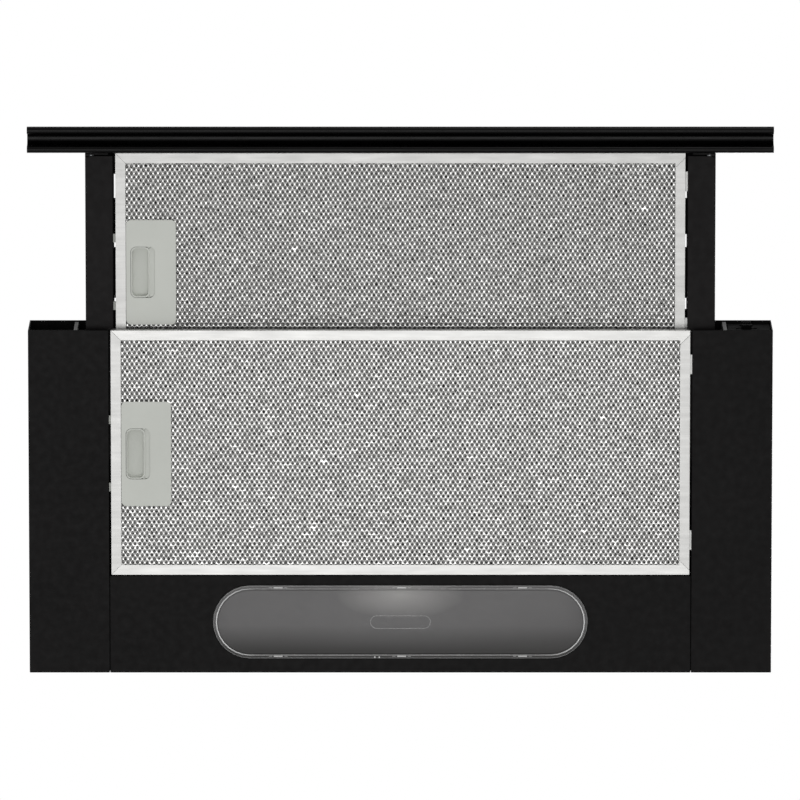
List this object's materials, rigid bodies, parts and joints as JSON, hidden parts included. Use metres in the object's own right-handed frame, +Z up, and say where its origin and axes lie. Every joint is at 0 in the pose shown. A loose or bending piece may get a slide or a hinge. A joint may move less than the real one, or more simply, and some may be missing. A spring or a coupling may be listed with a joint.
{
  "type": "under cabinet range hood",
  "caption": "Slim pull-out cooker hood for under a wall cabinet: black folded-steel body, sliding drawer, mesh grease filters, rear lamp and a blower box on top.",
  "frame": {"origin": "on the cabinet-mounting plane, the middle of the strip along the front edge of the top plate", "axes": "+X to the right along the front edge, +Y back to the wall, +Z up into the cabinet"},
  "size_m": [0.598, 0.4445, 0.2101],
  "materials": {
    "black_paint": "satin black powder coat",
    "black_anodised": "semi-gloss black anodised extrusion",
    "bare_aluminium": "satin",
    "mesh_aluminium": "expanded mesh",
    "latch_plastic": "fine moulded texture, light grey-green",
    "black_plastic": "satin moulded",
    "guide_plastic": "satin moulded, light grey",
    "white_plastic": "satin moulded",
    "smoky_plastic": "clear smoky moulded plastic, gloss",
    "galvanised_steel": "zinc plated",
    "polished_steel": "ground",
    "lamp_glass": "opal",
    "capacitor_case": "drawn can"
  },
  "bodies": {
    "housing": {"top_plate": "black_paint", "light_panel": "black_paint", "left_wing": "black_paint", "right_wing": "black_paint", "left_guide_rail": "galvanised_steel", "right_guide_rail": "galvanised_steel", "left_front_guide": "guide_plastic", "right_front_guide": "guide_plastic", "microswitch": "black_plastic", "lamp_housing": "white_plastic", "left_lampholder": "white_plastic", "right_lampholder": "white_plastic", "left_lamp": "lamp_glass", "right_lamp": "lamp_glass", "control_plate": "black_plastic", "switch_block": "black_plastic", "motor_box": "black_paint", "outlet_spigot": "black_plastic", "flap_pin": "polished_steel", "cable_gland": "black_plastic", "left_scroll_half": "black_plastic", "right_scroll_half": "black_plastic", "motor": "galvanised_steel", "motor_bracket": "galvanised_steel", "capacitor": "capacitor_case", "terminal_box": "white_plastic", "terminal_lid": "white_plastic"},
    "drawer": {"fascia": "black_anodised", "drawer_front_rail": "black_paint", "drawer_rear_rail": "black_paint", "drawer_cover": "black_paint", "left_post": "black_paint", "right_post": "black_paint", "left_glide": "guide_plastic", "right_glide": "guide_plastic", "left_fascia_screw": "galvanised_steel", "right_fascia_screw": "galvanised_steel", "front_filter_frame": "bare_aluminium", "front_filter_face_mesh": "mesh_aluminium", "front_filter_mesh_pack": "mesh_aluminium", "front_filter_latch_plate": "latch_plastic"},
    "front_latch": {"front_filter_latch_slider": "latch_plastic"},
    "rear_filter": {"rear_filter_frame": "bare_aluminium", "rear_filter_face_mesh": "mesh_aluminium", "rear_filter_mesh_pack": "mesh_aluminium", "rear_filter_latch_plate": "latch_plastic"},
    "rear_latch": {"rear_filter_latch_slider": "latch_plastic"},
    "lens": {"lamp_lens": "smoky_plastic"},
    "fan_wheel": {"impeller": "white_plastic", "motor_shaft": "polished_steel"},
    "front_flap": {"front_flap": "black_plastic"},
    "rear_flap": {"rear_flap": "black_plastic"},
    "fan_speed_slider": {"fan_speed_slider": "black_plastic"},
    "light_slider": {"light_slider": "black_plastic"},
    "plunger": {"microswitch_plunger": "white_plastic"}
  },
  "joints": [
    {"name": "drawer_slide", "type": "slide", "parent": "housing", "child": "drawer", "axis": [0, 1, 0], "range_m": [0, 0.142]},
    {"name": "front_latch_slide", "type": "slide", "parent": "drawer", "child": "front_latch", "axis": [1, 0, 0], "range_m": [0, 0.004], "stiffness_N_per_m": 800, "springref_m": -0.002},
    {"name": "rear_filter_swing", "type": "hinge", "parent": "housing", "child": "rear_filter", "pos_m": [0.2333, 0.0875, -0.0495], "axis": [0, 1, 0], "range_deg": [-60, 0]},
    {"name": "rear_latch_slide", "type": "slide", "parent": "rear_filter", "child": "rear_latch", "axis": [1, 0, 0], "range_m": [0, 0.004], "stiffness_N_per_m": 800, "springref_m": -0.002},
    {"name": "lens_hinge", "type": "hinge", "parent": "housing", "child": "lens", "pos_m": [0, 0.1959, -0.0505], "axis": [1, 0, 0], "range_deg": [-75, 0]},
    {"name": "fan_spin", "type": "hinge", "parent": "housing", "child": "fan_wheel", "pos_m": [0, 0.11599, 0.058], "axis": [1, 0, 0], "continuous": true},
    {"name": "front_flap_hinge", "type": "hinge", "parent": "housing", "child": "front_flap", "pos_m": [0, 0.141, 0.1347], "axis": [-1, 0, 0], "range_deg": [0, 75]},
    {"name": "rear_flap_hinge", "type": "hinge", "parent": "housing", "child": "rear_flap", "pos_m": [0, 0.141, 0.1347], "axis": [1, 0, 0], "range_deg": [0, 75]},
    {"name": "fan_speed_slide", "type": "slide", "parent": "housing", "child": "fan_speed_slider", "axis": [1, 0, 0], "range_m": [-0.006, 0.006]},
    {"name": "light_slide", "type": "slide", "parent": "housing", "child": "light_slider", "axis": [1, 0, 0], "range_m": [-0.003, 0.003]},
    {"name": "plunger_press", "type": "slide", "parent": "housing", "child": "plunger", "axis": [0, 1, 0], "range_m": [0, 0.0025], "stiffness_N_per_m": 500, "springref_m": -0.002}
  ]
}
